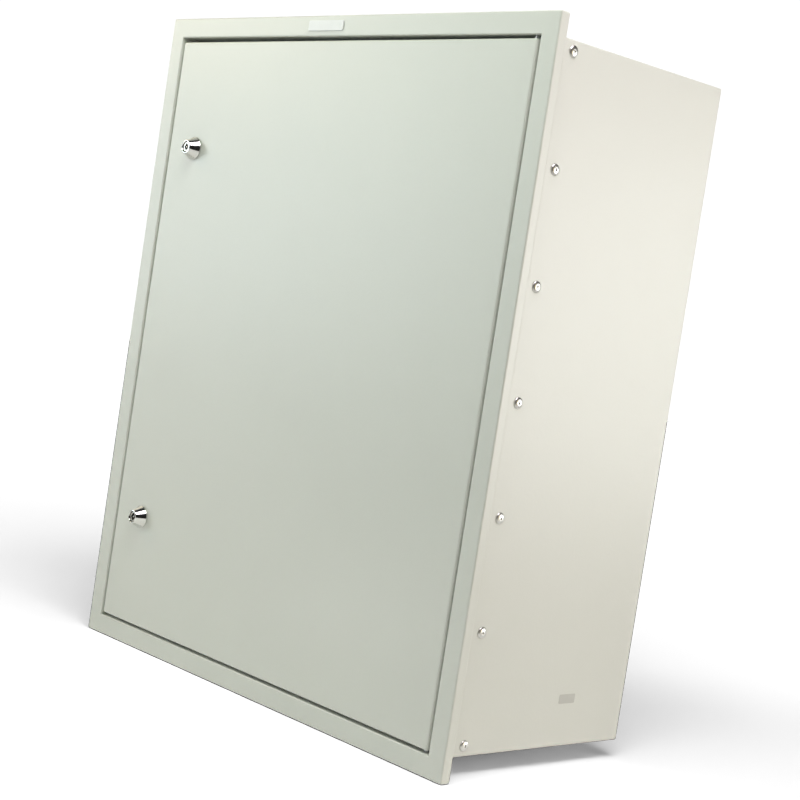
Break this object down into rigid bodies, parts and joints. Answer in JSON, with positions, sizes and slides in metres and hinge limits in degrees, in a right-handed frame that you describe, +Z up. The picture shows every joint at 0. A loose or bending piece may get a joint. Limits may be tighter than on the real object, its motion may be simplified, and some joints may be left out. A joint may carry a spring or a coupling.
{
  "type": "fire alarm control panel",
  "caption": "Flush-mounted fire alarm control panel: deep steel box with trim frame, blank hinged door with turn locks, and the control gear, operator panel and batteries inside.",
  "frame": {"origin": "centre of the outer back face of the box", "axes": "+Y into the wall, out of the box's back; +Z up, the long side of the trim frame; +X to the right seen from the front, towards the door's hinge"},
  "size_m": [0.5, 0.2398, 0.6],
  "materials": {
    "powder_coat": "pale grey-green powder coat, fine orange peel, semi-gloss",
    "zinc_steel": "bright zinc plated steel",
    "chrome": "polished chrome plating",
    "bright_steel": "bright turned steel",
    "foam_rubber": "black closed-cell foam",
    "rubber": "black moulded rubber",
    "circuit_board": "green solder mask",
    "black_plastic": "black moulded plastic",
    "grey_plastic": "light grey moulded plastic",
    "green_plastic": "green terminal plastic",
    "plate_plastic": "blank pale plate",
    "window_glass": "clear window over a dark display",
    "brass": "turned brass"
  },
  "bodies": {
    "cabinet": {"back_box": "powder_coat", "back_panel": "powder_coat", "trim_frame": "powder_coat", "door_seal": "foam_rubber", "name_plate": "plate_plastic", "rivet_1": "zinc_steel", "rivet_2": "zinc_steel", "rivet_3": "zinc_steel", "rivet_4": "zinc_steel", "rivet_5": "zinc_steel", "rivet_6": "zinc_steel", "rivet_7": "zinc_steel", "cable_grommet_1": "rubber", "cable_grommet_2": "rubber", "cable_grommet_3": "rubber", "gear_plate": "zinc_steel", "plate_spacer_1": "zinc_steel", "plate_spacer_2": "zinc_steel", "plate_spacer_3": "zinc_steel", "plate_spacer_4": "zinc_steel", "main_board": "circuit_board", "loop_card": "circuit_board", "power_supply": "zinc_steel", "field_terminals": "green_plastic", "mains_terminals": "grey_plastic", "mains_fuse": "black_plastic", "earth_stud": "brass", "battery_left": "black_plastic", "battery_right": "black_plastic", "battery_strap": "zinc_steel", "fascia_bracket_left": "zinc_steel", "fascia_bracket_right": "zinc_steel", "operator_fascia": "powder_coat", "display_bezel": "black_plastic", "display_window": "window_glass", "operator_board": "circuit_board", "key_switch_body": "chrome", "buzzer": "black_plastic"},
    "door": {"door_pan": "powder_coat", "door_stiffener": "powder_coat", "hinge_boss_upper": "zinc_steel", "hinge_boss_lower": "zinc_steel", "hinge_pin_upper": "bright_steel", "hinge_pin_lower": "bright_steel", "lock_body_upper": "chrome", "lock_body_lower": "chrome", "lock_nut_upper": "zinc_steel", "lock_nut_lower": "zinc_steel"},
    "lock_upper": {"lock_core_upper": "chrome", "lock_cam_upper": "zinc_steel", "cam_screw_upper": "bright_steel"},
    "lock_lower": {"lock_core_lower": "chrome", "lock_cam_lower": "zinc_steel", "cam_screw_lower": "bright_steel"},
    "button_1": {"key_1": "grey_plastic"},
    "button_2": {"key_2": "grey_plastic"},
    "button_3": {"key_3": "grey_plastic"},
    "button_4": {"key_4": "grey_plastic"},
    "button_5": {"key_5": "grey_plastic"},
    "key_switch": {"key_switch_core": "brass"}
  },
  "joints": [
    {"name": "door_hinge", "type": "hinge", "parent": "cabinet", "child": "door", "pos_m": [0.2234, -0.2233, 0], "axis": [0, 0, 1], "range_deg": [0, 105]},
    {"name": "lock_turn_upper", "type": "hinge", "parent": "door", "child": "lock_upper", "pos_m": [-0.1895, -0.2293, 0.177], "axis": [0, 1, 0], "range_deg": [0, 90]},
    {"name": "lock_turn_lower", "type": "hinge", "parent": "door", "child": "lock_lower", "pos_m": [-0.1895, -0.2293, -0.177], "axis": [0, 1, 0], "range_deg": [0, 90]},
    {"name": "key_1_press", "type": "slide", "parent": "cabinet", "child": "button_1", "axis": [0, 1, 0], "range_m": [0, 0.0012], "stiffness_N_per_m": 600},
    {"name": "key_2_press", "type": "slide", "parent": "cabinet", "child": "button_2", "axis": [0, 1, 0], "range_m": [0, 0.0012], "stiffness_N_per_m": 600},
    {"name": "key_3_press", "type": "slide", "parent": "cabinet", "child": "button_3", "axis": [0, 1, 0], "range_m": [0, 0.0012], "stiffness_N_per_m": 600},
    {"name": "key_4_press", "type": "slide", "parent": "cabinet", "child": "button_4", "axis": [0, 1, 0], "range_m": [0, 0.0012], "stiffness_N_per_m": 600},
    {"name": "key_5_press", "type": "slide", "parent": "cabinet", "child": "button_5", "axis": [0, 1, 0], "range_m": [0, 0.0012], "stiffness_N_per_m": 600},
    {"name": "key_switch_turn", "type": "hinge", "parent": "cabinet", "child": "key_switch", "pos_m": [0.1378, -0.178, 0.08665], "axis": [0, 1, 0], "range_deg": [0, 90]}
  ]
}
